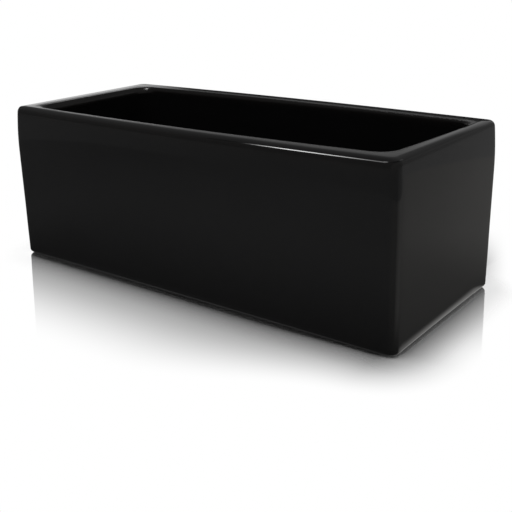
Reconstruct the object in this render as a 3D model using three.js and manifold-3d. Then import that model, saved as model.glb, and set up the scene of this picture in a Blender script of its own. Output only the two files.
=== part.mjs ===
// Trough planter: a slip-cast ceramic trough with a soft rim, drain holes in its floor with a
// lift-out rubber plug in each, and four rubber pads under its base.
// Millimetres, +Z up, +X along the trough. The origin is the centre of the base, on the surface
// that the pads stand on.
import * as THREE from "three";
import { mergeVertices } from "three/addons/utils/BufferGeometryUtils.js";
import Module from "manifold-3d";

// Outside of the trough
const length = 300; // over the middle of the end walls
const width = 141; // over the middle of the long walls, at the rim
const height = 108; // from the surface below to the rim
const cornerRadius = 5; // outer corners, seen from above
const longWallCrown = 4; // how far a long wall stands out in its middle, at the rim
const longWallFootCrown = 1; // the same at the foot
const endWallCrown = 0.5; // how far an end wall stands out in its middle
const longWallDraft = 2.5; // how far a long wall leans in from the rim to the foot
const endWallDraft = 0.5; // how far an end wall leans in from the rim to the foot
const rimLean = 1.6; // how far the walls close in again just under the rim
const rimLeanDepth = 30; // where below the rim that starts

// Walls and floor
const wallThickness = 14; // at the rim
const floorThickness = 10; // between the planting side and the recess under the base
const innerCornerRadius = 15; // inner corners, seen from above
const innerDraft = 3; // how far an inner wall leans in from the rim to the floor
const coveRadius = 12; // where the inner walls turn into the floor
const rimOuterRadius = 3.5;
const rimInnerRadius = 5;

// Foot
const heelRadius = 2.5; // round lower edge of the walls
const footRingWidth = 8; // flat unglazed ring that stands in the kiln
const footRecessDepth = 2; // hollow inside the foot ring
const footRecessCornerRadius = 9;

// Drain holes, in a row along the middle of the floor
const drainHoleCount = 2;
const drainHolePitch = 150;
const drainHoleDiameter = 16;
const drainHoleSoftening = 1; // bevel where the glaze softens the hole's mouth

// Drain plugs
const plugClearance = 0.3; // between the stem and the hole, all round
const plugStemEndGap = 1.5; // between the stem's end and the recess under the base
const plugStemTaper = 0.8; // how much the stem narrows towards its end
const plugFlangeOverlap = 5; // how far the flange covers the floor round the hole
const plugFlangeThickness = 2.4;
const plugNeckDiameter = 6.5;
const plugNeckHeight = 2.4; // between the flange and the grip
const plugGripDiameter = 11;
const plugGripHeight = 4.6;
const plugGripEdgeRadius = 2;
const plugEdgeRadius = 0.8; // edges of the flange and the stem's end

// Pads
const padDiameter = 16;
const padThickness = 2.5;
const padWallGap = 3; // between a pad and the wall of the recess
const padEdgeRadius = 0.8;

// Steps of the round forms
const cornerSteps = 7; // per quarter turn of a plan corner
const longWallSteps = 14;
const endWallSteps = 6;
const wallSteps = 6; // up a wall
const filletSteps = 4; // per quarter turn of an edge
const turnedSteps = 28; // per turn of a plug, pad or hole

const cornerHalfX = length / 2 - endWallCrown;
const cornerHalfY = width / 2 - longWallCrown;
const footZ = padThickness - footRecessDepth;
const recessZ = padThickness;
const floorZ = recessZ + floorThickness;

const glazeMaterial = new THREE.MeshStandardMaterial({
  color: 0x060606,
  roughness: 0.12,
  metalness: 0,
});
const plugMaterial = new THREE.MeshStandardMaterial({
  color: 0x1b1b1c,
  roughness: 0.7,
  metalness: 0,
});
const padMaterial = new THREE.MeshStandardMaterial({
  color: 0x2a2a2b,
  roughness: 0.8,
  metalness: 0,
});

const wasm = await Module();
wasm.setup();

function solidFrom(geometry) {
  const bare = geometry.clone();
  bare.deleteAttribute("normal");
  bare.deleteAttribute("uv");
  const merged = mergeVertices(bare, 1e-4);
  return new wasm.Manifold(
    new wasm.Mesh({
      numProp: 3,
      vertProperties: new Float32Array(merged.attributes.position.array),
      triVerts: new Uint32Array(merged.index.array),
    }),
  );
}

function geometryFrom(solid) {
  const mesh = solid.getMesh();
  const geometry = new THREE.BufferGeometry();
  geometry.setAttribute("position", new THREE.BufferAttribute(mesh.vertProperties, 3));
  geometry.setIndex(new THREE.BufferAttribute(mesh.triVerts, 1));
  geometry.computeVertexNormals();
  return geometry;
}

// Height up the wall as a share: 0 at the foot, 1 at the rim.
function wallShare(z) {
  return (z - footZ) / (height - footZ);
}

// How far the outer face stands in from its widest line at a height, for a wall's own draft.
function outerInset(z, draft) {
  const lean = Math.max(0, 1 - (height - z) / rimLeanDepth);
  return draft * (1 - wallShare(z)) + rimLean * lean * lean;
}

function longCrownAt(z) {
  return longWallFootCrown + (longWallCrown - longWallFootCrown) * wallShare(z);
}

// One closed line round the trough: a rounded rectangle with crowned sides.
function outline({ halfX, halfY, radius, z }) {
  const turn = Math.min(radius, halfX, halfY);
  const points = [];
  for (let corner = 0; corner < 4; corner++) {
    const signX = corner === 0 || corner === 3 ? 1 : -1;
    const signY = corner < 2 ? 1 : -1;
    const centreX = signX * (halfX - turn);
    const centreY = signY * (halfY - turn);
    for (let step = 0; step <= cornerSteps; step++) {
      const angle = ((corner + step / cornerSteps) * Math.PI) / 2;
      points.push(
        new THREE.Vector2(
          centreX + turn * Math.cos(angle),
          centreY + turn * Math.sin(angle),
        ),
      );
    }
    const last = points[points.length - 1];
    const alongX = corner % 2 === 0;
    const next = alongX
      ? new THREE.Vector2(-last.x, last.y)
      : new THREE.Vector2(last.x, -last.y);
    const sideSteps = alongX ? longWallSteps : endWallSteps;
    for (let step = 1; step < sideSteps; step++)
      points.push(last.clone().lerp(next, step / sideSteps));
  }
  return points.map(({ x, y }) => {
    const outX = (endWallCrown * (1 - (y / halfY) ** 2)) / halfX;
    const outY = (longCrownAt(z) * (1 - (x / halfX) ** 2)) / halfY;
    return new THREE.Vector3(x * (1 + outX), y * (1 + outY), z);
  });
}

// The closed lines from the middle of the underside, over the rim, to the middle of the floor.
function troughRings() {
  const rings = [];
  const add = (faceX, faceY, inset, radius, z) =>
    rings.push({ halfX: faceX - inset, halfY: faceY - inset, radius, z });
  const outerFaceX = (z) => cornerHalfX - outerInset(z, endWallDraft);
  const outerFaceY = (z) => cornerHalfY - outerInset(z, longWallDraft);
  const addOuter = (z, inset, radius) =>
    add(outerFaceX(z), outerFaceY(z), inset, radius, z);

  const heel = Math.min(heelRadius, height / 4);
  for (const z of [recessZ, footZ])
    add(
      outerFaceX(footZ),
      outerFaceY(footZ),
      heel + footRingWidth,
      footRecessCornerRadius,
      z,
    );
  for (let step = 0; step <= filletSteps; step++) {
    const angle = (step / filletSteps) * (Math.PI / 2);
    addOuter(
      footZ + heel * (1 - Math.cos(angle)),
      heel * (1 - Math.sin(angle)),
      cornerRadius,
    );
  }

  const rimOuter = Math.min(rimOuterRadius, wallThickness / 3);
  const rimInner = Math.min(rimInnerRadius, wallThickness / 2);
  const wallBottom = footZ + heel;
  const wallTop = height - rimOuter;
  const leanStart = Math.max(height - rimLeanDepth, (wallBottom + wallTop) / 2);
  addOuter((wallBottom + leanStart) / 2, 0, cornerRadius);
  for (let step = 0; step < wallSteps; step++)
    addOuter(
      THREE.MathUtils.lerp(leanStart, wallTop, step / wallSteps),
      0,
      cornerRadius,
    );

  const addRim = (z, inset, radius) =>
    add(outerFaceX(wallTop), outerFaceY(wallTop), inset, radius, z);
  for (let step = 0; step <= filletSteps; step++) {
    const angle = (step / filletSteps) * (Math.PI / 2);
    addRim(
      wallTop + rimOuter * Math.sin(angle),
      rimOuter * (1 - Math.cos(angle)),
      cornerRadius,
    );
  }
  for (let step = 0; step <= filletSteps; step++) {
    const angle = (step / filletSteps) * (Math.PI / 2);
    addRim(
      height - rimInner * (1 - Math.cos(angle)),
      wallThickness - rimInner * (1 - Math.sin(angle)),
      innerCornerRadius,
    );
  }

  const cove = Math.min(coveRadius, (height - rimInner - floorZ) / 2);
  const coveTop = floorZ + cove;
  const floorInset = wallThickness + innerDraft;
  for (let step = 0; step <= filletSteps; step++) {
    const angle = (step / filletSteps) * (Math.PI / 2);
    addRim(
      coveTop - cove * Math.sin(angle),
      floorInset + cove * (1 - Math.cos(angle)),
      innerCornerRadius,
    );
  }
  return rings;
}

// Joins the rings into one closed skin, with a flat cap inside the first and the last.
function troughSkin() {
  const lines = troughRings().map(outline);
  const count = lines[0].length;
  const vertices = lines.flat();
  const faces = [];
  lines.slice(1).forEach((_, ring) => {
    for (let i = 0; i < count; i++) {
      const a = ring * count + i;
      const b = ring * count + ((i + 1) % count);
      faces.push(a, b, b + count, a, b + count, a + count);
    }
  });
  const capAt = (first, z, upwards) => {
    const centre = vertices.push(new THREE.Vector3(0, 0, z)) - 1;
    for (let i = 0; i < count; i++) {
      const a = first + i;
      const b = first + ((i + 1) % count);
      faces.push(...(upwards ? [centre, a, b] : [centre, b, a]));
    }
  };
  capAt(0, recessZ, false);
  capAt((lines.length - 1) * count, floorZ, true);
  const skin = new THREE.BufferGeometry().setFromPoints(vertices);
  skin.setIndex(faces);
  return skin;
}

function drainHoleCentres() {
  return Array.from(
    { length: drainHoleCount },
    (_, i) => (i - (drainHoleCount - 1) / 2) * drainHolePitch,
  );
}

// Solid of turning, from points given as radius and height.
function turned(profile) {
  const points = profile.map(([radius, z]) => new THREE.Vector2(radius, z));
  const lathe = new THREE.LatheGeometry(points, turnedSteps);
  lathe.rotateX(Math.PI / 2);
  return geometryFrom(solidFrom(lathe));
}

// Points of a quarter-round edge, for a profile that is read upwards on its outside.
function quarterRound(centreR, centreZ, radius, fromDegrees) {
  return Array.from({ length: filletSteps + 1 }, (_, step) => {
    const angle = THREE.MathUtils.degToRad(fromDegrees + (90 * step) / filletSteps);
    return [centreR + radius * Math.cos(angle), centreZ + radius * Math.sin(angle)];
  });
}

// Cutter for a drain hole: a straight bore that opens out at both of the floor's faces.
function drainHoleCutter(x) {
  const radius = drainHoleDiameter / 2;
  const soft = drainHoleSoftening;
  const beyond = soft;
  const cutter = turned([
    [0, recessZ - beyond],
    [radius + soft + beyond, recessZ - beyond],
    [radius, recessZ + soft],
    [radius, floorZ - soft],
    [radius + soft + beyond, floorZ + beyond],
    [0, floorZ + beyond],
  ]);
  return solidFrom(cutter.translate(x, 0, 0));
}

function troughBody() {
  const skin = solidFrom(troughSkin());
  const cut = drainHoleCentres().reduce(
    (solid, x) => solid.subtract(drainHoleCutter(x)),
    skin,
  );
  return named("trough_body", geometryFrom(cut), glazeMaterial);
}

// A plug stands on the floor by its flange. Its own zero is the flange's underside.
function drainPlugGeometry() {
  const stemRadius = drainHoleDiameter / 2 - plugClearance;
  const stemLength = floorThickness - plugStemEndGap;
  const stemEndRadius = stemRadius - plugStemTaper;
  const flangeRadius = drainHoleDiameter / 2 + drainHoleSoftening + plugFlangeOverlap;
  const edge = Math.min(plugEdgeRadius, plugFlangeThickness / 2);
  const gripRadius = plugGripDiameter / 2;
  const gripBase = plugFlangeThickness + plugNeckHeight;
  const gripTop = gripBase + plugGripHeight;
  const gripEdge = Math.min(plugGripEdgeRadius, plugGripHeight / 2);
  return turned([
    [0, -stemLength],
    ...quarterRound(stemEndRadius - edge, edge - stemLength, edge, -90),
    [stemRadius, 0],
    [flangeRadius, 0],
    ...quarterRound(flangeRadius - edge, plugFlangeThickness - edge, edge, 0),
    [plugNeckDiameter / 2, plugFlangeThickness],
    [plugNeckDiameter / 2, gripBase],
    ...quarterRound(gripRadius - gripEdge, gripBase + gripEdge, gripEdge, -90),
    ...quarterRound(gripRadius - gripEdge, gripTop - gripEdge, gripEdge, 0),
    [0, gripTop],
  ]);
}

function drainPlugs() {
  const centres = drainHoleCentres();
  return centres.map((x, i) => {
    const side = centres.length === 2 ? ["left", "right"][i] : i + 1;
    const plug = named("drain_plug_" + side, drainPlugGeometry(), plugMaterial);
    plug.position.set(x, 0, floorZ);
    return plug;
  });
}

function footPadGeometry() {
  const radius = padDiameter / 2;
  const edge = Math.min(padEdgeRadius, padThickness / 2);
  return turned([
    [0, 0],
    ...quarterRound(radius - edge, edge, edge, -90),
    [radius, padThickness],
    [0, padThickness],
  ]);
}

function footPads() {
  const inset = heelRadius + footRingWidth + padWallGap + padDiameter / 2;
  const x = cornerHalfX - endWallDraft - inset;
  const y = cornerHalfY - longWallDraft - inset;
  return ["front", "back"].flatMap((row, j) =>
    ["left", "right"].map((side, i) => {
      const pad = named(`foot_pad_${row}_${side}`, footPadGeometry(), padMaterial);
      pad.position.set(i ? x : -x, j ? y : -y, 0);
      return pad;
    }),
  );
}

function named(name, geometry, material) {
  const mesh = new THREE.Mesh(geometry, material);
  mesh.name = name;
  return mesh;
}

const planter = new THREE.Group();
planter.add(troughBody(), ...drainPlugs(), ...footPads());

export default planter;
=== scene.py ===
import math

import bpy
import bmesh
from mathutils import Matrix, Vector


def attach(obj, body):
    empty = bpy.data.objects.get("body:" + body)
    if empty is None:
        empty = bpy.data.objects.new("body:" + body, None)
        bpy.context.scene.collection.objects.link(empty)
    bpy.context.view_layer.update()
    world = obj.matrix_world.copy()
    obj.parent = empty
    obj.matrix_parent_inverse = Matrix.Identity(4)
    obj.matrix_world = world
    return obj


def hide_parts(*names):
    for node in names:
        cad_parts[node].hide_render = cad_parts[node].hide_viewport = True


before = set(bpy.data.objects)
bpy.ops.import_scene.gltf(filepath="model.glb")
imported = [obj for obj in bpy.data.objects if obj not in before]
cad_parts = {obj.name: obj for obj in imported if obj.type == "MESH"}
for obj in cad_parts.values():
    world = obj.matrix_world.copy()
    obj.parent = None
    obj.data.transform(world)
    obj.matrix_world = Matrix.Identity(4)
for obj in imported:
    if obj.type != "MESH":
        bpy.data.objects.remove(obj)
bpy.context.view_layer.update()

# Trough planter in black glaze, with a rubber plug in each drain hole and rubber pads under it.
# Metres, +Z up, +X along the trough; the floor it stands on is z = 0.

MM = 0.001

# Outside of the trough, as in the CAD
LENGTH = 300 * MM
WIDTH = 141 * MM
HEIGHT = 108 * MM
CORNER_RADIUS = 5 * MM
LONG_CROWN = 4 * MM
LONG_FOOT_CROWN = 1 * MM
END_CROWN = 0.5 * MM
LONG_DRAFT = 2.5 * MM
END_DRAFT = 0.5 * MM
RIM_LEAN = 1.6 * MM
RIM_LEAN_DEPTH = 30 * MM
WALL = 14 * MM
INNER_RADIUS = 15 * MM
INNER_DRAFT = 3 * MM
COVE_RADIUS = 12 * MM
RIM_OUTER_RADIUS = 3.5 * MM
RIM_INNER_RADIUS = 3.5 * MM
FOOT_Z = 0.5 * MM
RECESS_Z = 2.5 * MM
FLOOR_Z = 12.5 * MM
HEEL_RADIUS = 2.5 * MM
FOOT_RING = 8 * MM
RECESS_RADIUS = 9 * MM
HALF_X = LENGTH / 2 - END_CROWN
HALF_Y = WIDTH / 2 - LONG_CROWN

# Where the drain holes and the pads are, as in the CAD
HOLE_X = 75 * MM
HOLE_RADIUS = 8 * MM
HOLE_FLARE = 1 * MM
PAD_X = 127.5 * MM
PAD_Y = 42.5 * MM

# How far the lip falls from its crest to the outer face
LIP_FALL = 2.2 * MM


# Node helpers


class Field:
    """A number that varies over a surface. Sums on it add maths nodes to its tree."""

    def __init__(self, tree, socket):
        self.tree = tree
        self.socket = socket

    def maths(self, operation, *others):
        node = self.tree.nodes.new("ShaderNodeMath")
        node.operation = operation
        for slot, value in zip(node.inputs, (self, *others)):
            feed(self.tree, value, slot)
        return Field(self.tree, node.outputs[0])

    def __add__(self, other):
        return self.maths("ADD", other)

    def __sub__(self, other):
        return self.maths("SUBTRACT", other)

    def __rsub__(self, other):
        return self.maths("MULTIPLY", -1.0).maths("ADD", other)

    def __mul__(self, other):
        return self.maths("MULTIPLY", other)

    def __truediv__(self, other):
        return self.maths("DIVIDE", other)

    def __rtruediv__(self, other):
        return self.maths("POWER", -1.0).maths("MULTIPLY", other)

    def at_least(self, other):
        return self.maths("MAXIMUM", other)

    def at_most(self, other):
        return self.maths("MINIMUM", other)

    def squared(self):
        return self.maths("MULTIPLY", self)

    def power(self, other):
        return self.maths("POWER", other)


def feed(tree, value, slot):
    if isinstance(value, Field):
        value = value.socket
    if isinstance(value, bpy.types.NodeSocket):
        tree.links.new(value, slot)
    else:
        slot.default_value = value


def add(tree, kind, inputs=None, **settings):
    node = tree.nodes.new(kind)
    for name, value in settings.items():
        setattr(node, name, value)
    for key, value in (inputs or {}).items():
        feed(tree, value, node.inputs[key])
    return node


def number(tree, kind, inputs=None, output=0, **settings):
    return Field(tree, add(tree, kind, inputs, **settings).outputs[output])


def split(tree, vector):
    parts = add(tree, "ShaderNodeSeparateXYZ", {0: vector})
    return [Field(tree, socket) for socket in parts.outputs]


def joined(tree, x, y, z):
    return add(tree, "ShaderNodeCombineXYZ", {0: x, 1: y, 2: z}).outputs[0]


def smooth_step(value, low, high):
    tree = value.tree
    return number(
        tree,
        "ShaderNodeMapRange",
        {"Value": value, "From Min": low, "From Max": high},
        interpolation_type="SMOOTHSTEP",
    )


def new_tree(name, kind, inputs, outputs):
    tree = bpy.data.node_groups.new(name, kind)
    for direction, sockets in (("INPUT", inputs), ("OUTPUT", outputs)):
        for socket_name, socket_kind, *default in sockets:
            socket = tree.interface.new_socket(
                socket_name, in_out=direction, socket_type="NodeSocket" + socket_kind
            )
            if default:
                socket.default_value = default[0]
    start = tree.nodes.new("NodeGroupInput")
    end = tree.nodes.new("NodeGroupOutput")
    return tree, start, end


# The tree that sweeps a profile round a rounded plan

SWEEP_SIZES = {
    "Half Length": HALF_X,
    "Half Width": HALF_Y,
    "Height": HEIGHT,
    "Foot Height": FOOT_Z,
    "Face Top": HEIGHT - RIM_OUTER_RADIUS,
    "End Draft": END_DRAFT,
    "Long Draft": LONG_DRAFT,
    "Rim Lean": RIM_LEAN,
    "Rim Lean Depth": RIM_LEAN_DEPTH,
    "End Crown": END_CROWN,
    "Long Crown": LONG_CROWN,
    "Long Foot Crown": LONG_FOOT_CROWN,
    "Heel Ease": 1.6 * MM,
    "Heel Ease Height": 4.5 * MM,
    "Left Lip Rise": 2.0 * MM,
    "Right Lip Rise": 0.8 * MM,
    "Back Lip Rise": 2.2 * MM,
    "Lip Fall": LIP_FALL,
    "Front Wall Turn": 0.02,
    "Right Wall Turn": 0.06,
    "Right Wall Thin": 1.8 * MM,
    "Inner Corner Tighten": 0.28,
    "Wall": WALL,
    "Rounder Inner Edge": 0.9,
    "Back Lip Tilt": 0.03,
    "Wobble": 0.2 * MM,
    "Rim Wobble": 0.18 * MM,
    "Wobble Size": 46 * MM,
    "Flute Depth": 0.0,
    "Turned": 0.0,
}
SWEEP_COUNTS = {
    "Corner Steps": 14,
    "Long Steps": 72,
    "End Steps": 32,
    "Edge Steps": 13,
    "Flutes": 12,
    "Seed": 7,
}
PROFILE_MARKS = ("fillet", "plan_radius", "spread", "outside", "thin_glaze")
PROFILE_STEP = 2.5 * MM
MOST_CUTS = 60
PLAN_HALF = 2.0
MERGE_DISTANCE = 0.01 * MM
INNER_EDGE_START = 0.4
INNER_EDGE_POWER = 1.55
BACK_EDGE_LEFT = 0.6
BACK_EDGE_FALL = 0.45

# Where an effect starts and where it is full: below the top, in from the face, above the foot
LIP_BELOW_TOP = (14 * MM, 4 * MM)
RIM_BELOW_TOP = (12 * MM, 4 * MM)
CAVITY_INSET = (7 * MM, 12 * MM)
WOBBLE_ABOVE_FOOT = (20 * MM, 40 * MM)


def sweep_tree():
    inputs = [("Geometry", "Geometry")]
    inputs += [(name, "Float", value) for name, value in SWEEP_SIZES.items()]
    inputs += [(name, "Int", value) for name, value in SWEEP_COUNTS.items()]
    inputs += [("Finish", "Material")]
    tree, start, end = new_tree(
        "Profile swept round a plan", "GeometryNodeTree", inputs, [("Geometry", "Geometry")]
    )
    size = {name: Field(tree, start.outputs[name]) for name in (*SWEEP_SIZES, *SWEEP_COUNTS)}

    def mark(name):
        return number(
            tree, "GeometryNodeInputNamedAttribute", {"Name": name}, data_type="FLOAT"
        )

    def position():
        return add(tree, "GeometryNodeInputPosition").outputs[0]

    def index():
        return number(tree, "GeometryNodeInputIndex")

    # Profile: rounded, then divided where it is long
    profile = add(
        tree, "GeometryNodeMeshToCurve", {"Mesh": start.outputs["Geometry"]}
    ).outputs[0]
    profile = add(
        tree,
        "GeometryNodeFilletCurve",
        {
            "Curve": profile,
            "Count": size["Edge Steps"],
            "Radius": mark("fillet"),
            "Limit Radius": True,
        },
        mode="POLY",
    ).outputs[0]
    next_point = add(
        tree,
        "GeometryNodeFieldAtIndex",
        {"Value": position(), "Index": index() + 1},
        data_type="FLOAT_VECTOR",
    ).outputs[0]
    stretch = number(
        tree,
        "ShaderNodeVectorMath",
        {0: next_point, 1: position()},
        operation="DISTANCE",
        output="Value",
    )
    profile = add(
        tree,
        "GeometryNodeSubdivideCurve",
        {"Curve": profile, "Cuts": (stretch / PROFILE_STEP).at_most(MOST_CUTS)},
    ).outputs[0]

    # Plan: a square with corners of radius 1, whose straight sides are stretched to the walls
    plan = add(
        tree,
        "GeometryNodeCurvePrimitiveQuadrilateral",
        {"Width": 2 * PLAN_HALF, "Height": 2 * PLAN_HALF},
        mode="RECTANGLE",
    ).outputs[0]
    plan = add(
        tree,
        "GeometryNodeFilletCurve",
        {"Curve": plan, "Count": size["Corner Steps"], "Radius": 1.0, "Limit Radius": True},
        mode="POLY",
    ).outputs[0]
    here_x, here_y, _ = split(tree, position())
    on_side = PLAN_HALF - 0.001
    steps_x = here_y.maths("ABSOLUTE").maths("GREATER_THAN", on_side) * size["Long Steps"]
    steps_y = here_x.maths("ABSOLUTE").maths("GREATER_THAN", on_side) * size["End Steps"]
    plan_points = (size["Corner Steps"] + 1) * 4
    plan_next = add(
        tree,
        "GeometryNodeFieldAtIndex",
        {"Value": position(), "Index": (index() + 1).maths("MODULO", plan_points)},
        data_type="FLOAT_VECTOR",
    ).outputs[0]
    plan_stretch = number(
        tree,
        "ShaderNodeVectorMath",
        {0: plan_next, 1: position()},
        operation="DISTANCE",
        output="Value",
    )
    straight = plan_stretch.maths("GREATER_THAN", PLAN_HALF - 0.1)
    plan = add(
        tree,
        "GeometryNodeSubdivideCurve",
        {"Curve": plan, "Cuts": straight * (steps_x + steps_y)},
    ).outputs[0]

    def point_count(curve):
        return number(
            tree, "GeometryNodeAttributeDomainSize", {"Geometry": curve}, component="CURVE"
        )

    rows = point_count(profile)
    columns = point_count(plan)
    grid = add(
        tree,
        "GeometryNodeMeshGrid",
        {"Size X": 1.0, "Size Y": 1.0, "Vertices X": columns + 1, "Vertices Y": rows},
    ).outputs["Mesh"]
    row = index().maths("MODULO", rows)
    column = (index() / rows).maths("FLOOR").maths("MODULO", columns)

    def sampled(curve, value, place, data_type="FLOAT_VECTOR"):
        return number(
            tree,
            "GeometryNodeSampleIndex",
            {"Geometry": curve, "Value": value, "Index": place},
            data_type=data_type,
        )

    inset, _, z = split(tree, sampled(profile, position(), row))
    plan_radius, spread, outside, thin_glaze = (
        sampled(profile, mark(name), row, "FLOAT") for name in PROFILE_MARKS[1:]
    )
    plan_radius = plan_radius + (inset * -1 - plan_radius) * size["Turned"]
    plan_x, plan_y, _ = split(tree, sampled(plan, position(), column))
    core_x = plan_x.at_least(-1).at_most(1)
    core_y = plan_y.at_least(-1).at_most(1)
    out_x = plan_x - core_x
    out_y = plan_y - core_y
    right_share = core_x * 0.5 + 0.5
    plan_radius = plan_radius * (1 - (1 - outside) * size["Inner Corner Tighten"])

    # The inner edge of the rim is rounder along the left and back walls
    edge_share = (thin_glaze - INNER_EDGE_START).at_least(0) / (1 - INNER_EDGE_START)
    edge_share = edge_share.power(INNER_EDGE_POWER)
    inner_edge = edge_share * (1 - outside) * size["Rounder Inner Edge"]
    back_edge = out_y.at_least(0) * (BACK_EDGE_LEFT - right_share * BACK_EDGE_FALL)
    inner_edge = inner_edge * (back_edge - out_x.at_most(0)).at_most(1)
    inset = inset - (size["Wall"] - inset) * inner_edge
    z = z - (size["Height"] - z) * inner_edge

    tall = size["Height"] - size["Foot Height"]
    share = (z - size["Foot Height"]) / tall
    face_z = size["Face Top"] + outside * (z.at_most(size["Face Top"]) - size["Face Top"])
    face_share = (face_z - size["Foot Height"]) / tall
    lean = (1 - (size["Height"] - face_z) / size["Rim Lean Depth"]).at_least(0).squared()
    lean = lean * size["Rim Lean"]
    flute_turn = out_y.maths("ARCTAN2", out_x) * size["Flutes"]
    flute = (flute_turn.maths("COSINE") * -0.5 + 0.5) * size["Flute Depth"] * outside
    radius = plan_radius - flute
    half_x = size["Half Length"] - (1 - face_share) * size["End Draft"] - lean - inset - flute
    half_y = size["Half Width"] - (1 - face_share) * size["Long Draft"] - lean - inset - flute

    # The heel is rounder in the middle of each wall than at its corners
    ease = (1 - (z - size["Foot Height"]) / size["Heel Ease Height"]).at_least(0)
    ease = ease.at_most(1).squared() * outside * size["Heel Ease"]
    ease_x = ease * (1 - core_y.squared())
    ease_y = ease * (1 - core_x.squared())

    # The lip is flatter at the ends and tilts at the back, and the walls vary in thickness
    below_crest = ((size["Height"] - z) / size["Lip Fall"]).at_most(1)
    lip_start, lip_full = (size["Height"] - depth for depth in LIP_BELOW_TOP)
    in_lip = smooth_step(z, lip_start, lip_full)
    flatter = out_x.at_least(0).squared() * size["Right Lip Rise"]
    flatter = flatter + out_x.at_most(0).squared() * size["Left Lip Rise"]
    flatter = flatter + out_y.at_least(0).squared() * size["Back Lip Rise"]
    tilt = (size["Wall"] - inset).at_least(0) * out_y.at_least(0).squared() * size["Back Lip Tilt"]
    lip_rise = (below_crest * flatter - tilt) * in_lip
    in_cavity = smooth_step(inset, *CAVITY_INSET) * (1 - outside)

    x = core_x * (half_x - radius) + out_x * (radius - ease_x)
    y = core_y * (half_y - radius) + out_y * (radius - ease_y)
    y = y + x * size["Front Wall Turn"] * in_cavity * (0.5 - core_y * 0.5)
    x = x + (y * size["Right Wall Turn"] + size["Right Wall Thin"]) * in_cavity * right_share
    long_crown = size["Long Foot Crown"] + (size["Long Crown"] - size["Long Foot Crown"]) * share
    crowned_x = x * ((1 - (y / half_y).squared()) * size["End Crown"] / half_x + 1)
    crowned_y = y * ((1 - (x / half_x).squared()) * long_crown / half_y + 1)
    place = joined(tree, crowned_x * spread, crowned_y * spread, z + lip_rise)
    skin = add(
        tree, "GeometryNodeSetPosition", {"Geometry": grid, "Position": place}
    ).outputs[0]
    skin = add(
        tree,
        "GeometryNodeStoreNamedAttribute",
        {"Geometry": skin, "Name": "thin_glaze", "Value": thin_glaze},
        data_type="FLOAT",
        domain="POINT",
    ).outputs[0]
    skin = add(
        tree, "GeometryNodeMergeByDistance", {"Geometry": skin, "Distance": MERGE_DISTANCE}
    ).outputs[0]

    # Slow unevenness of the cast and dipped skin, always inwards
    patches = number(
        tree,
        "ShaderNodeTexNoise",
        {"Vector": position(), "W": size["Seed"], "Scale": 1 / size["Wobble Size"], "Detail": 1.0},
        noise_dimensions="4D",
    )
    _, _, height = split(tree, position())
    rim_start, rim_full = (size["Height"] - depth for depth in RIM_BELOW_TOP)
    near_rim = smooth_step(height, rim_start, rim_full)
    wobble_start, wobble_full = (size["Foot Height"] + rise for rise in WOBBLE_ABOVE_FOOT)
    above_foot = smooth_step(height, wobble_start, wobble_full)
    amount = above_foot * (size["Wobble"] + near_rim * (size["Rim Wobble"] - size["Wobble"]))
    inwards = add(
        tree,
        "ShaderNodeVectorMath",
        {0: add(tree, "GeometryNodeInputNormal").outputs[0], "Scale": patches * amount * -1},
        operation="SCALE",
    ).outputs[0]
    skin = add(
        tree, "GeometryNodeSetPosition", {"Geometry": skin, "Offset": inwards}
    ).outputs[0]

    # Nothing rises above the top
    skin_x, skin_y, skin_z = split(tree, position())
    below_top = joined(tree, skin_x, skin_y, skin_z.at_most(size["Height"]))
    skin = add(
        tree, "GeometryNodeSetPosition", {"Geometry": skin, "Position": below_top}
    ).outputs[0]
    skin = add(
        tree, "GeometryNodeSetShadeSmooth", {"Geometry": skin, "Shade Smooth": True}
    ).outputs[0]
    skin = add(tree, "GeometryNodeRealizeInstances", {"Geometry": skin}).outputs[0]
    skin = add(
        tree,
        "GeometryNodeSetMaterial",
        {"Geometry": skin, "Material": start.outputs["Finish"]},
    ).outputs[0]
    tree.links.new(skin, end.inputs["Geometry"])
    return tree


def profile_mesh(name, points):
    """A line of edges. Each point is inset, height and then the profile marks."""
    mesh = bpy.data.meshes.new(name)
    corners = [(inset, 0.0, z) for inset, z, *_ in points]
    mesh.from_pydata(corners, [(i, i + 1) for i in range(len(corners) - 1)], [])
    for place, mark in enumerate(PROFILE_MARKS):
        attribute = mesh.attributes.new(mark, "FLOAT", "POINT")
        attribute.data.foreach_set("value", [point[2 + place] for point in points])
    return mesh


def link_object(name, mesh):
    piece = bpy.data.objects.new(name, mesh)
    bpy.context.scene.collection.objects.link(piece)
    return piece


def settled(name, source):
    """The plain mesh that an object's modifiers make, as a new object; the source goes."""
    graph = bpy.context.evaluated_depsgraph_get()
    mesh = bpy.data.meshes.new_from_object(source.evaluated_get(graph))
    bpy.data.objects.remove(source)
    mesh.name = name
    return link_object(name, mesh)


def swept(name, points, finish, values, cutter=None):
    source = link_object(name + "_profile", profile_mesh(name + "_profile", points))
    modifier = source.modifiers.new("Sweep", "NODES")
    modifier.node_group = sweep
    identifiers = {
        item.name: item.identifier
        for item in sweep.interface.items_tree
        if item.item_type == "SOCKET" and item.in_out == "INPUT"
    }
    for key, value in {**values, "Finish": finish}.items():
        modifier[identifiers[key]] = value
    if cutter:
        cut = source.modifiers.new("Drain holes", "BOOLEAN")
        cut.object = cutter
        cut.operation = "DIFFERENCE"
        cut.solver = "EXACT"
    return settled(name, source)


def moved_copy(name, piece, offset):
    mesh = piece.data.copy()
    mesh.name = name
    mesh.transform(Matrix.Translation(offset))
    return link_object(name, mesh)


# Finishes


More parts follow.
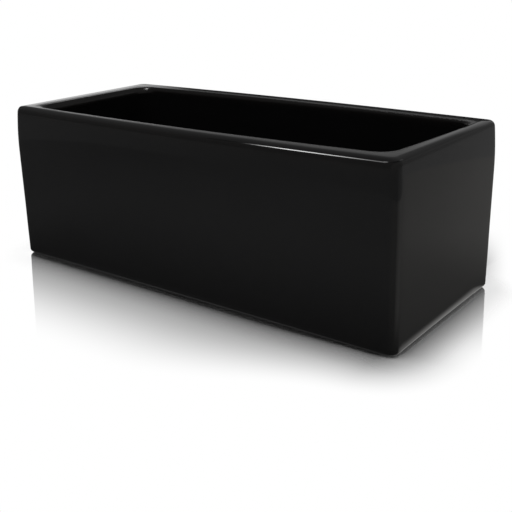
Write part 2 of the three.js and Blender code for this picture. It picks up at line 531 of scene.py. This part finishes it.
def mottle_group():
    """Soft patches and fine grain over a piece, as one mask from 0 to 1."""
    tree, start, end = new_tree(
        "Mottle",
        "ShaderNodeTree",
        [
            ("Patch Size", "Float", 30 * MM),
            ("Grain Size", "Float", 2 * MM),
            ("Grain Share", "Float", 0.3),
        ],
        [("Mask", "Float")],
    )
    place = add(tree, "ShaderNodeTexCoord").outputs["Object"]
    patch_size, grain_size, grain_share = (Field(tree, socket) for socket in start.outputs[:3])
    patch = number(
        tree, "ShaderNodeTexNoise", {"Vector": place, "Scale": 1 / patch_size, "Detail": 3.0}
    )
    grain = number(
        tree, "ShaderNodeTexNoise", {"Vector": place, "Scale": 1 / grain_size, "Detail": 2.0}
    )
    feed(tree, patch + (grain - patch) * grain_share, end.inputs["Mask"])
    return tree


def new_material(name):
    material = bpy.data.materials.new(name)
    material.use_nodes = True
    tree = material.node_tree
    tree.nodes.clear()
    return material, tree


def finished(material, surface):
    tree = material.node_tree
    output = tree.nodes.new("ShaderNodeOutputMaterial")
    tree.links.new(surface, output.inputs["Surface"])
    return material


def object_place(tree):
    return split(tree, add(tree, "ShaderNodeTexCoord").outputs["Object"])


def mottle(tree, patch_size, grain_size, grain_share):
    node = tree.nodes.new("ShaderNodeGroup")
    node.node_tree = mottle_tree
    for slot, value in zip(node.inputs, (patch_size, grain_size, grain_share)):
        slot.default_value = value
    return Field(tree, node.outputs["Mask"])


def colour_mix(tree, share, first, second):
    node = add(tree, "ShaderNodeMix", {"Factor": share}, data_type="RGBA")
    for slot, value in ((node.inputs[6], first), (node.inputs[7], second)):
        if isinstance(value, tuple):
            value = (*value, 1.0)
        feed(tree, value, slot)
    return node.outputs[2]


def coated(material, colour, roughness, relief):
    """A finish for a piece: its colour and roughness, with its relief in metres as bump."""
    tree = material.node_tree
    bump = add(tree, "ShaderNodeBump", {"Strength": 1.0, "Distance": 1.0, "Height": relief})
    surface = add(
        tree,
        "ShaderNodeBsdfPrincipled",
        {"Base Color": colour, "Roughness": roughness, "IOR": 1.5, "Normal": bump.outputs[0]},
    )
    return finished(material, surface.outputs[0])


GLAZE_DARK = (0.0022, 0.0022, 0.0023)
GLAZE_PALE = (0.0036, 0.0036, 0.0037)
GLAZE_THIN = (0.012, 0.010, 0.0085)
CLAY_DARK = (0.30, 0.235, 0.17)
CLAY_PALE = (0.44, 0.36, 0.27)
GLAZE_ROUGHNESS = 0.045
CLOUD_ROUGHNESS = 0.05
EDGE_ROUGHNESS = 0.16
CLAY_ROUGHNESS = 0.7
THIN_EDGE = (0.75, 0.95)
THIN_SHARE = 0.5
WIPED_ABOVE_FOOT = 0.15 * MM
WIPED_WAVE = 0.1 * MM
WIPED_SHARPNESS = 9000.0
CLAY_INSET = (7.5 * MM, 8.5 * MM)
PEEL_DEPTH = 0.02 * MM
CLAY_DEPTH = 0.12 * MM


def black_glaze():
    """Black glaze, thinner over the edges, with bare clay on the foot ring."""
    material, tree = new_material("black_glaze")
    x, y, z = object_place(tree)
    clouds = mottle(tree, 60 * MM, 9 * MM, 0.25)
    peel = mottle(tree, 14 * MM, 3.5 * MM, 0.4)
    clay_grain = mottle(tree, 6 * MM, 0.5 * MM, 0.6)
    thin = number(tree, "ShaderNodeAttribute", output="Fac", attribute_name="thin_glaze")
    wiped = (z + peel * WIPED_WAVE - FOOT_Z - WIPED_ABOVE_FOOT) * -WIPED_SHARPNESS
    inside = (HALF_X - x.maths("ABSOLUTE")).at_most(HALF_Y - y.maths("ABSOLUTE"))
    bare = wiped.at_least(0).at_most(1) * smooth_step(inside, *CLAY_INSET)
    glaze = colour_mix(tree, clouds, GLAZE_DARK, GLAZE_PALE)
    glaze = colour_mix(tree, thin.squared() * clouds * THIN_SHARE, glaze, GLAZE_THIN)
    clay = colour_mix(tree, clay_grain, CLAY_DARK, CLAY_PALE)
    roughness = clouds * CLOUD_ROUGHNESS + GLAZE_ROUGHNESS
    roughness = roughness + smooth_step(thin, *THIN_EDGE) * EDGE_ROUGHNESS
    roughness = roughness + bare * CLAY_ROUGHNESS
    relief = peel * PEEL_DEPTH + bare * clay_grain * CLAY_DEPTH
    return coated(material, colour_mix(tree, bare, glaze, clay), roughness, relief)


RUBBER_ROUGHNESS_SPREAD = 0.2
RUBBER_DEPTH = 0.05 * MM
PLUG_COLOURS = ((0.016, 0.016, 0.017), (0.030, 0.030, 0.031))
PAD_COLOURS = ((0.030, 0.030, 0.031), (0.052, 0.052, 0.053))


def rubber(name, colours, roughness):
    material, tree = new_material(name)
    patches = mottle(tree, 5 * MM, 0.35 * MM, 0.5)
    return coated(
        material,
        colour_mix(tree, patches, *colours),
        patches * RUBBER_ROUGHNESS_SPREAD + roughness,
        patches * RUBBER_DEPTH,
    )


mottle_tree = mottle_group()
glaze_finish = black_glaze()
plug_finish = rubber("plug_rubber", PLUG_COLOURS, 0.5)
pad_finish = rubber("pad_rubber", PAD_COLOURS, 0.6)
sweep = sweep_tree()


# Trough

FLOOR_INSET = WALL + INNER_DRAFT
RECESS_INSET = HEEL_RADIUS + FOOT_RING
LIP_CREST = 4.2 * MM
LIP_ROUNDING = 10.5 * MM
CAP_SPREADS = (0.0, 0.35, 0.7)


def trough_profile():
    """From the middle of the recess under the base, over the rim, to the middle of the floor."""
    points = [
        (RECESS_INSET, RECESS_Z, 0.0, RECESS_RADIUS, spread, 1.0, 0.0) for spread in CAP_SPREADS
    ]
    points += [
        # Edge of the recess, foot ring and heel
        (RECESS_INSET, RECESS_Z, 0.5 * MM, RECESS_RADIUS, 1.0, 1.0, 0.0),
        (RECESS_INSET, FOOT_Z, 0.6 * MM, RECESS_RADIUS, 1.0, 1.0, 0.0),
        (0.0, FOOT_Z, HEEL_RADIUS, CORNER_RADIUS, 1.0, 1.0, 0.2),
        # Outer face and rim
        (0.0, FOOT_Z + 12 * MM, 0.0, CORNER_RADIUS, 1.0, 1.0, 0.0),
        (0.0, HEIGHT - 12 * MM, 0.0, CORNER_RADIUS, 1.0, 1.0, 0.0),
        (0.0, HEIGHT - LIP_FALL, RIM_OUTER_RADIUS, CORNER_RADIUS, 1.0, 1.0, 0.7),
        (LIP_CREST, HEIGHT, LIP_ROUNDING, CORNER_RADIUS, 1.0, 0.0, 0.4),
        (WALL, HEIGHT, RIM_INNER_RADIUS, INNER_RADIUS, 1.0, 0.0, 1.0),
        # Inner face and cove
        (WALL + 0.2 * MM, HEIGHT - 9 * MM, 0.0, INNER_RADIUS, 1.0, 0.0, 0.0),
        (WALL + 0.6 * MM, HEIGHT - 20 * MM, 0.0, INNER_RADIUS, 1.0, 0.0, 0.0),
        (FLOOR_INSET, FLOOR_Z, COVE_RADIUS, INNER_RADIUS, 1.0, 0.0, 0.0),
    ]
    points += [
        (FLOOR_INSET + COVE_RADIUS + 2 * MM, FLOOR_Z, 0.0, INNER_RADIUS, spread, 0.0, 0.0)
        for spread in (1.0, *reversed(CAP_SPREADS))
    ]
    return points


def turned(name, profile, steps):
    """A closed solid of turning round the Z axis, from radius and height points."""
    body = bmesh.new()
    rings = []
    for radius, z in profile:
        if radius == 0:
            rings.append([body.verts.new((0, 0, z))])
            continue
        angles = [2 * math.pi * step / steps for step in range(steps)]
        rings.append([
            body.verts.new((radius * math.cos(angle), radius * math.sin(angle), z))
            for angle in angles
        ])
    for low, high in zip(rings, rings[1:]):
        for step in range(steps):
            after = (step + 1) % steps
            corners = [low[step % len(low)], low[after % len(low)]]
            corners += [high[after % len(high)], high[step % len(high)]]
            body.faces.new(dict.fromkeys(corners))
    bmesh.ops.recalc_face_normals(body, faces=body.faces)
    mesh = bpy.data.meshes.new(name)
    body.to_mesh(mesh)
    body.free()
    return mesh


FLARE_STEPS = 6
BORE_STEPS = 64


def drain_cutter():
    """Both bores, opening out in a quarter round at each face of the floor."""
    mouth = HOLE_RADIUS + HOLE_FLARE
    flare = []
    for step in range(FLARE_STEPS + 1):
        turn = math.pi / 2 * step / FLARE_STEPS
        flare.append((mouth - HOLE_FLARE * math.sin(turn), HOLE_FLARE * (1 - math.cos(turn))))
    profile = [(0.0, RECESS_Z - HOLE_FLARE), (mouth, RECESS_Z - HOLE_FLARE)]
    profile += [(radius, RECESS_Z + rise) for radius, rise in flare]
    profile += [(radius, FLOOR_Z - rise) for radius, rise in reversed(flare)]
    profile += [(mouth, FLOOR_Z + HOLE_FLARE), (0.0, FLOOR_Z + HOLE_FLARE)]
    both = bmesh.new()
    for x in (-HOLE_X, HOLE_X):
        bore = turned("drain_bore", profile, BORE_STEPS)
        bore.transform(Matrix.Translation((x, 0, 0)))
        both.from_mesh(bore)
        bpy.data.meshes.remove(bore)
    mesh = bpy.data.meshes.new("drain_cutter")
    both.to_mesh(mesh)
    both.free()
    return link_object("drain_cutter", mesh)


cutter = drain_cutter()
trough = swept("glazed_trough", trough_profile(), glaze_finish, {}, cutter)
bpy.data.objects.remove(cutter)


# Drain plugs and pads

# A plug or pad is the same sweep round a point, without the trough's own shaping
KEPT_WHEN_TURNED = (
    "Height", "Foot Height", "Face Top", "Rim Lean Depth", "Heel Ease Height",
    "Lip Fall", "Wall", "Wobble Size",
)
TURNED_VALUES = {name: 0.0 for name in SWEEP_SIZES if name not in KEPT_WHEN_TURNED}
TURNED_VALUES.update({"Long Steps": 0, "End Steps": 0, "Edge Steps": 5, "Turned": 1.0})

# Sizes of the plugs and pads, in millimetres from the plug's seat and the pad's underside
STEM_RADIUS = 7.7
STEM_END_RADIUS = 6.9
STEM_LENGTH = 8.5
RIB_DEPTH = 0.5
RIB_PITCH = 2.4
RIBS = 3
FLANGE_RADIUS = 14
FLANGE_THICKNESS = 2.4
SEAM_DEPTH = 0.1
GROOVE_RADIUS = 9.2
GROOVE_DEPTH = 0.35
NECK_RADIUS = 3.25
GRIP_RADIUS = 5.5
GRIP_BASE = 4.8
GRIP_TOP = 9.4
GRIP_FLUTES = 12
GRIP_FLUTE_DEPTH = 0.55
DIMPLE_RADIUS = 2.2
DIMPLE_DEPTH = 0.4
PAD_RADIUS = 8.0
PAD_THICKNESS = 2.5
PAD_HOLLOW_RADIUS = 2.8
PAD_HOLLOW_DEPTH = 0.5


def turned_points(profile):
    """Sweep points from radius, height, fillet and fluting, all in millimetres."""
    return [
        (-radius * MM, z * MM, fillet * MM, 0.0, 1.0, fluted, 0.0)
        for radius, z, fillet, fluted in profile
    ]


def plug_profile():
    """Ribbed stem that seals the hole, flange with a mould line, neck and fluted grip."""
    profile = [(0, -STEM_LENGTH, 0, 0), (STEM_END_RADIUS - 0.3, -STEM_LENGTH, 0.8, 0)]
    for rib in range(RIBS, 0, -1):
        crest = -RIB_PITCH * rib + 0.4
        radius = STEM_RADIUS + (STEM_RADIUS - STEM_END_RADIUS) * crest / STEM_LENGTH
        profile += [
            (radius - RIB_DEPTH, crest - 0.7, 0.3, 0),
            (radius, crest - 0.2, 0.2, 0),
            (radius, crest + 0.2, 0.2, 0),
            (radius - RIB_DEPTH, crest + 0.9, 0.3, 0),
        ]
    edge = FLANGE_RADIUS - SEAM_DEPTH
    seam = FLANGE_THICKNESS / 2
    profile += [
        (STEM_RADIUS - RIB_DEPTH, 0.0, 0, 0),
        (edge, 0.0, 0.3, 0),
        (edge, seam - 0.15, 0.05, 0),
        (FLANGE_RADIUS, seam - 0.05, 0.05, 0),
        (FLANGE_RADIUS, seam + 0.05, 0.05, 0),
        (edge, seam + 0.15, 0.05, 0),
        (edge, FLANGE_THICKNESS, 0.8, 0),
        (GROOVE_RADIUS, FLANGE_THICKNESS, 0.4, 0),
        (GROOVE_RADIUS - 0.5, FLANGE_THICKNESS - GROOVE_DEPTH, 0.4, 0),
        (NECK_RADIUS, FLANGE_THICKNESS - GROOVE_DEPTH, 0.9, 0),
        (NECK_RADIUS, GRIP_BASE, 0.5, 0),
        (GRIP_RADIUS, GRIP_BASE, 1.4, 1),
        (GRIP_RADIUS, GRIP_TOP, 1.8, 1),
        (DIMPLE_RADIUS, GRIP_TOP, 0.3, 0),
        (DIMPLE_RADIUS - 0.6, GRIP_TOP - DIMPLE_DEPTH, 0.3, 0),
        (0, GRIP_TOP - DIMPLE_DEPTH, 0, 0),
    ]
    return turned_points(profile)


def pad_profile():
    """Moulded pad with a shallow hollow in its tread, on a thin film of adhesive."""
    return turned_points([
        (0, PAD_HOLLOW_DEPTH, 0, 0),
        (PAD_HOLLOW_RADIUS - 0.6, PAD_HOLLOW_DEPTH, 0.3, 0),
        (PAD_HOLLOW_RADIUS, 0.0, 0.3, 0),
        (PAD_RADIUS - 0.25, 0.0, 0.9, 0),
        (PAD_RADIUS - 0.1, PAD_THICKNESS - 0.35, 0.15, 0),
        (PAD_RADIUS - 0.4, PAD_THICKNESS - 0.3, 0.05, 0),
        (PAD_RADIUS, PAD_THICKNESS - 0.25, 0.05, 0),
        (PAD_RADIUS, PAD_THICKNESS, 0, 0),
        (0, PAD_THICKNESS, 0, 0),
    ])


plug = swept(
    "drain_plug",
    plug_profile(),
    plug_finish,
    {
        **TURNED_VALUES,
        "Corner Steps": 30,
        "Flutes": GRIP_FLUTES,
        "Flute Depth": GRIP_FLUTE_DEPTH * MM,
    },
)
plugs = {
    side: moved_copy("ribbed_plug_" + side, plug, (x, 0, FLOOR_Z))
    for side, x in (("left", -HOLE_X), ("right", HOLE_X))
}
bpy.data.objects.remove(plug)

pad = swept("pad", pad_profile(), pad_finish, {**TURNED_VALUES, "Corner Steps": 16})
pads = {
    row + "_" + side: moved_copy("moulded_pad_" + row + "_" + side, pad, (x, y, 0))
    for row, y in (("front", -PAD_Y), ("back", PAD_Y))
    for side, x in (("left", -PAD_X), ("right", PAD_X))
}
bpy.data.objects.remove(pad)


# Floor, backdrop and lights

WHITE = (1.0, 1.0, 1.0, 1.0)
FLOOR_WHITE = (0.9, 0.9, 0.9, 1.0)
FLOOR_RADIUS = 16.0
FLOOR_STEPS = 96
FLOOR_DROP = 0.02 * MM
PLANTER_HALF = (149 * MM, 66 * MM)
FOOT_ROUNDING = 13 * MM
FOOT_NARROWER = 2.5 * MM
FOOT_NARROWER_X = (60 * MM, 145 * MM)
MIRROR_REACH_FRONT = 90 * MM
MIRROR_REACH_CORNER = 46 * MM
MIRROR_REACH_END = 38 * MM
MIRROR_REACH_END_BACK = 32 * MM
CORNER_NEARING_X = (20 * MM, 155 * MM)
END_BACK_Y = (-40 * MM, 70 * MM)
MIRROR_SHARE = 0.72
MIRROR_SHARE_LESS_AT_END = 0.19
CONTACT_SHARE = 0.25
CONTACT_SHARE_MORE_AT_END = 0.06
CONTACT_FADE = 0.045
LIT_FLOOR = 26 * MM

# Painted shadow behind the planter, in the floor's white: how wide it is, how far back it reaches,
# and how dark it is
SHADE_SIDE = (160 * MM, 188 * MM)
SHADE_NARROWING = 0.375
SHADE_START = (50 * MM, 64 * MM)
SHADE_FADE = (60 * MM, 185 * MM)
SHADE_DEPTH = 0.9


def glow(tree, strength, colour=WHITE):
    return add(
        tree, "ShaderNodeEmission", {"Color": colour, "Strength": strength}
    ).outputs[0]


def clear(tree):
    return add(tree, "ShaderNodeBsdfTransparent", {"Color": WHITE}).outputs[0]


def mixed(tree, share, first, second):
    return add(tree, "ShaderNodeMixShader", {0: share, 1: first, 2: second}).outputs[0]


def beyond_footprint(x, y):
    """How far a point of the floor is from the planter's round-cornered outline on it."""
    narrower = smooth_step(x, *FOOT_NARROWER_X) * FOOT_NARROWER
    beyond_x = (x.maths("ABSOLUTE") - (PLANTER_HALF[0] - FOOT_ROUNDING)).at_least(0)
    beyond_y = (y.maths("ABSOLUTE") + narrower - (PLANTER_HALF[1] - FOOT_ROUNDING)).at_least(0)
    return ((beyond_x.squared() + beyond_y.squared()).maths("SQRT") - FOOT_ROUNDING).at_least(0)


def right_of_corner(x, y):
    """The slope from the near corner: 0 straight to its right, below 0 in front of that."""
    return (y + PLANTER_HALF[1]) / (x - PLANTER_HALF[0]).at_least(1 * MM)


def seen_as_background(tree):
    """1 for the rays that show the background: from the camera, in gloss and through glass."""
    path = add(tree, "ShaderNodeLightPath")
    rays = ("Is Camera Ray", "Is Glossy Ray", "Is Transmission Ray")
    from_camera, in_gloss, through_glass = (Field(tree, path.outputs[ray]) for ray in rays)
    return from_camera.at_least(in_gloss).at_least(through_glass)


def floor_finish():
    """White floor that keeps a soft shadow and mirrors the planter close to its foot; behind the
    planter a painted shadow dims its white.
    """
    material, tree = new_material("white_studio_floor")
    x, y, _ = object_place(tree)
    distance = beyond_footprint(x, y)
    lit = add(tree, "ShaderNodeBsdfDiffuse", {"Color": FLOOR_WHITE}).outputs[0]

    # Painted shadow: the floor's white is dimmed behind the planter where its cast shadow would
    # fall
    across = x.maths("ABSOLUTE") + y * SHADE_NARROWING
    painted_floor_shadow = (1 - smooth_step(across, *SHADE_SIDE)) * smooth_step(y, *SHADE_START)
    painted_floor_shadow = painted_floor_shadow * (1 - smooth_step(y, *SHADE_FADE)) * SHADE_DEPTH
    white = glow(tree, 1 - painted_floor_shadow)
    far = smooth_step(distance, 0.0, LIT_FLOOR)
    base = mixed(tree, seen_as_background(tree) * far, lit, white)

    # The mirror fades with distance, sooner at the near corner and beside the end
    mirror = add(
        tree, "ShaderNodeBsdfAnisotropic", {"Color": WHITE, "Roughness": 0.0}
    ).outputs[0]
    beside = (x - (PLANTER_HALF[0] - FOOT_ROUNDING)).at_least(0)
    before = (-(PLANTER_HALF[1] - FOOT_ROUNDING) - y).at_least(0)
    end_side = smooth_step(beside / (beside + before + 0.01 * MM), 0.1, 0.9)
    shorter = smooth_step(x, *CORNER_NEARING_X) * (MIRROR_REACH_CORNER - MIRROR_REACH_FRONT)
    front_reach = shorter + MIRROR_REACH_FRONT
    end_reach = smooth_step(y, *END_BACK_Y) * MIRROR_REACH_END_BACK + MIRROR_REACH_END
    share = distance / (front_reach + (end_reach - front_reach) * end_side)
    wide = MIRROR_SHARE - end_side * MIRROR_SHARE_LESS_AT_END
    close = end_side * CONTACT_SHARE_MORE_AT_END + CONTACT_SHARE
    polish = (1 - smooth_step(share, 0.0, 1.02)) * wide
    polish = polish + (share / -CONTACT_FADE).maths("EXPONENT") * close
    facing = number(tree, "ShaderNodeLayerWeight", {"Blend": 0.5}, output="Facing")
    polish = polish * smooth_step(facing, 0.2, 0.45)
    return finished(material, mixed(tree, polish, base, mirror))


def floor_disc():
    body = bmesh.new()
    bmesh.ops.create_circle(body, cap_ends=True, radius=FLOOR_RADIUS, segments=FLOOR_STEPS)
    bmesh.ops.translate(body, verts=body.verts, vec=(0, 0, -FLOOR_DROP))
    mesh = bpy.data.meshes.new("studio_floor")
    body.to_mesh(mesh)
    body.free()
    mesh.materials.append(floor_finish())
    return link_object("studio_floor", mesh)


floor_disc()

# Grey cards round the planter: its glaze mirrors them, and nothing else sees them

CARD_STEPS = 96
CARD_ROUNDING = 0.5
CARD_REACH = 1.6
CARD_HOLE = (143 * MM, 59.5 * MM)
CARD_ABOVE_FLOOR = 0.25 * MM
CARD_WARM = (1.0, 0.985, 0.955)
TENT_FOOT = 70 * MM
TENT_OPEN_BEHIND = 100 * MM
TENT_FOOT_HALF = (225 * MM, 145 * MM)
TENT_WALL_HALF = (600 * MM, 520 * MM)
TENT_TOP_HALF = (300 * MM, 260 * MM)
TENT_GREY = 0.1
TENT_RIGHT_GREY = 0.17
TENT_LEFT_GLOW = 0.9
TENT_LOW_GREY = 0.155
SOFTBOX_X = (-205 * MM, 15 * MM)
SOFTBOX_Y = (-100 * MM, -16 * MM)
SOFTBOX_Z = 400 * MM
SOFTBOX_LEVEL = 17.0
SOFTBOX_DIMMER_RIGHT = 0.85
FLAG_X = (-95 * MM, 110 * MM)
FLAG_Y = -4 * MM
FLAG_FOOT = 230 * MM


def rounded_ring(half_x, half_y, z):
    ring = []
    for step in range(CARD_STEPS):
        turn = 2 * math.pi * (step + 0.5) / CARD_STEPS
        x, y = math.cos(turn), math.sin(turn)
        ring.append((
            math.copysign(abs(x) ** CARD_ROUNDING, x) * half_x,
            math.copysign(abs(y) ** CARD_ROUNDING, y) * half_y,
            z,
        ))
    return ring


def stage_card(name, points, faces, finish):
    """A card that only gloss shows."""
    mesh = bpy.data.meshes.new(name)
    mesh.from_pydata(points, [], faces)
    mesh.materials.append(finish)
    piece = link_object(name, mesh)
    for kind in ("camera", "diffuse", "shadow", "transmission", "volume_scatter"):
        setattr(piece, "visible_" + kind, False)


def ringed_card(name, rings, finish, closed_top=False):
    """A card from rounded rings, given as half length, half width and height."""
    points = [point for ring in rings for point in rounded_ring(*ring)]
    faces = []
    for row in range(len(rings) - 1):
        low, high = row * CARD_STEPS, (row + 1) * CARD_STEPS
        for step in range(CARD_STEPS):
            after = (step + 1) % CARD_STEPS
            faces.append((low + step, low + after, high + after, high + step))
    if closed_top:
        faces.append(tuple(range(len(points) - CARD_STEPS, len(points))))
    stage_card(name, points, faces, finish)


def table_card_finish():
    """Dim grey from above, clear from below, with a painted shadow of the planter that darkens it
    towards the foot.
    """
    material, tree = new_material("grey_table_card")
    x, y, _ = object_place(tree)
    distance = beyond_footprint(x, y)
    end_side = smooth_step(x, 135 * MM, 165 * MM)

    # Painted shadow: the level rises from the planter outwards, more at the right end than in front
    near = end_side * 0.045 + 0.05
    far_front = smooth_step(x, -350 * MM, 50 * MM) * 0.06 + 0.12
    far = far_front + (0.22 - far_front) * end_side
    level = near + (far - near) * smooth_step(distance, -40 * MM, 130 * MM)

    # Painted light: paler to the right of the near corner, and in a thin line along the foot of the
    # end
    bearing = right_of_corner(x, y)
    right_front = smooth_step(bearing, -0.6, 0.1) * (1 - smooth_step(bearing, 0.3, 1.5))
    level = level + right_front * smooth_step(distance, 5 * MM, 60 * MM) * 0.2
    foot_share = end_side * smooth_step(y, -66 * MM, -50 * MM) + 0.01
    painted_foot_light = (1 - smooth_step(distance, 0.5 * MM, 7 * MM)) * foot_share
    below = Field(tree, add(tree, "ShaderNodeNewGeometry").outputs["Backfacing"])
    tint = colour_mix(tree, end_side, WHITE[:3], CARD_WARM)
    return finished(material, mixed(tree, below, glow(tree, level + painted_foot_light, tint), clear(tree)))


def tent_finish():
    """Dim grey, with a pale band at the back, a clear foot, and no reflection in the floor."""
    material, tree = new_material("grey_tent")
    x, y, z = object_place(tree)

    # The pale band at the back, the glow at the back left and the paler right side
    back = smooth_step(y, 90 * MM, 130 * MM)
    right = smooth_step(x, 110 * MM, 170 * MM)
    band = smooth_step(z, 130 * MM, 146 * MM) * 0.36 + 0.03
    band = band - smooth_step(z, 145 * MM, 225 * MM) * 0.29
    left = smooth_step(x * -1, 195 * MM, 262 * MM) * smooth_step(y, -20 * MM, 60 * MM)
    left = left * (1 - smooth_step(z, 130 * MM, 160 * MM))
    level = (band - TENT_GREY) * back + left * TENT_LEFT_GLOW + TENT_GREY
    level = level + (TENT_RIGHT_GREY - level) * right

    # Low down, at the right and in front, it is paler beside the near corner
    low = right.at_least(1 - smooth_step(y, -40 * MM, 60 * MM))
    low = (1 - smooth_step(z, 85 * MM, 115 * MM)) * low
    bearing = right_of_corner(x, y)
    beside_corner = 0.09 - smooth_step(bearing, 1.0, 2.2) * 0.05
    low_level = smooth_step(bearing, -0.55, 0.15) * right * beside_corner + TENT_LOW_GREY
    level = level + (low_level - level) * low

    # In a first reflection, the glaze sees no tent below its foot, and the floor sees none of it
    path = add(tree, "ShaderNodeLightPath")
    bounces = Field(tree, path.outputs["Ray Depth"])
    mirrored = Field(tree, path.outputs["Is Singular Ray"])
    behind = smooth_step(y, -60 * MM, 0) * (1 - smooth_step(x, -210 * MM, -160 * MM))
    open_below = behind * (TENT_OPEN_BEHIND - TENT_FOOT) + TENT_FOOT
    unseen = z.maths("LESS_THAN", open_below).at_least(mirrored) * bounces.maths("LESS_THAN", 1.5)
    return finished(material, mixed(tree, unseen, glow(tree, level), clear(tree)))


ringed_card(
    "grey_table_card",
    [(CARD_REACH, CARD_REACH, CARD_ABOVE_FLOOR), (*CARD_HOLE, CARD_ABOVE_FLOOR)],
    table_card_finish(),
)
ringed_card(
    "grey_tent",
    [
        (*TENT_FOOT_HALF, 1 * MM),
        (*TENT_FOOT_HALF, TENT_FOOT),
        (*TENT_WALL_HALF, 450 * MM),
        (*TENT_WALL_HALF, 800 * MM),
        (*TENT_TOP_HALF, 900 * MM),
    ],
    tent_finish(),
    closed_top=True,
)


def softbox_finish():
    """White light that starts softly on the left and dims towards the right."""
    material, tree = new_material("strip_softbox")
    x, _, _ = object_place(tree)
    level = smooth_step(x, -158 * MM, -90 * MM) * SOFTBOX_LEVEL
    level = level * (1 - smooth_step(x, -95 * MM, 10 * MM) * SOFTBOX_DIMMER_RIGHT)
    return finished(material, glow(tree, level))


def flag_finish():
    """The tent's own grey, to hide the softbox from the back rim."""
    material, tree = new_material("grey_flag")
    return finished(material, glow(tree, TENT_GREY))


stage_card(
    "strip_softbox",
    [
        (SOFTBOX_X[0], SOFTBOX_Y[0], SOFTBOX_Z),
        (SOFTBOX_X[0], SOFTBOX_Y[1], SOFTBOX_Z),
        (SOFTBOX_X[1], SOFTBOX_Y[1], SOFTBOX_Z),
        (SOFTBOX_X[1], SOFTBOX_Y[0], SOFTBOX_Z),
    ],
    [(0, 1, 2, 3)],
    softbox_finish(),
)
stage_card(
    "grey_flag",
    [
        (FLAG_X[0], FLAG_Y, FLAG_FOOT),
        (FLAG_X[1], FLAG_Y, FLAG_FOOT),
        (FLAG_X[1], FLAG_Y, SOFTBOX_Z),
        (FLAG_X[0], FLAG_Y, SOFTBOX_Z),
    ],
    [(0, 1, 2, 3)],
    flag_finish(),
)


def lamp(name, place, aim, size, power):
    data = bpy.data.lights.new(name, "AREA")
    data.size = size
    data.energy = power
    piece = bpy.data.objects.new(name, data)
    bpy.context.scene.collection.objects.link(piece)
    piece.location = place
    piece.rotation_euler = (Vector(aim) - Vector(place)).to_track_quat("-Z", "Y").to_euler()
    piece.visible_glossy = False
    piece.visible_camera = False


lamp("overhead_lamp", (-0.2, -0.3, 1.4), aim=(0, 0, 0.05), size=1.2, power=14.0)

ROOM_LIGHT = 0.55
world = bpy.data.worlds.new("Studio")
bpy.context.scene.world = world
world.use_nodes = True
sky = world.node_tree
sky.nodes.clear()
backdrop, room = (
    add(sky, "ShaderNodeBackground", {"Color": WHITE, "Strength": strength}).outputs[0]
    for strength in (1.0, ROOM_LIGHT)
)
sky_output = sky.nodes.new("ShaderNodeOutputWorld")
sky.links.new(mixed(sky, seen_as_background(sky), room, backdrop), sky_output.inputs["Surface"])


# Camera

CAMERA_AZIMUTH = math.radians(37.554)
CAMERA_ELEVATION = math.radians(15.701)
CAMERA_DISTANCE = 567.536 * MM
CAMERA_ROLL = math.radians(-1.035)
CAMERA_TARGET = Vector((0, 0, 54 * MM))
FRAME_PIXELS = 512
FOCAL_PIXELS = 845.801
SHIFT_PIXELS = (14.835, -63.884)
SENSOR = 36.0

back = Vector((
    math.sin(CAMERA_AZIMUTH) * math.cos(CAMERA_ELEVATION),
    -math.cos(CAMERA_AZIMUTH) * math.cos(CAMERA_ELEVATION),
    math.sin(CAMERA_ELEVATION),
))
right = (-back).cross(Vector((0, 0, 1))).normalized()
up = right.cross(-back)
rolled_right = math.cos(CAMERA_ROLL) * right + math.sin(CAMERA_ROLL) * up
rolled_up = -math.sin(CAMERA_ROLL) * right + math.cos(CAMERA_ROLL) * up
camera_data = bpy.data.cameras.new("Camera")
camera_data.sensor_width = SENSOR
camera_data.lens = FOCAL_PIXELS / FRAME_PIXELS * SENSOR
camera_data.shift_x = SHIFT_PIXELS[0] / FRAME_PIXELS
camera_data.shift_y = SHIFT_PIXELS[1] / FRAME_PIXELS
camera_data.clip_start = 0.01
camera_data.clip_end = 60.0
camera = bpy.data.objects.new("Camera", camera_data)
bpy.context.scene.collection.objects.link(camera)
turn = Matrix((rolled_right, rolled_up, back)).transposed().to_4x4()
camera.matrix_world = Matrix.Translation(CAMERA_TARGET + back * CAMERA_DISTANCE) @ turn
bpy.context.scene.camera = camera
bpy.context.scene.view_settings.view_transform = "Standard"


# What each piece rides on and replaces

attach(trough, "trough")
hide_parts("trough_body")
for side, piece in plugs.items():
    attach(piece, side + "_plug")
    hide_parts("drain_plug_" + side)
for place, piece in pads.items():
    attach(piece, "trough")
    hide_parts("foot_pad_" + place)
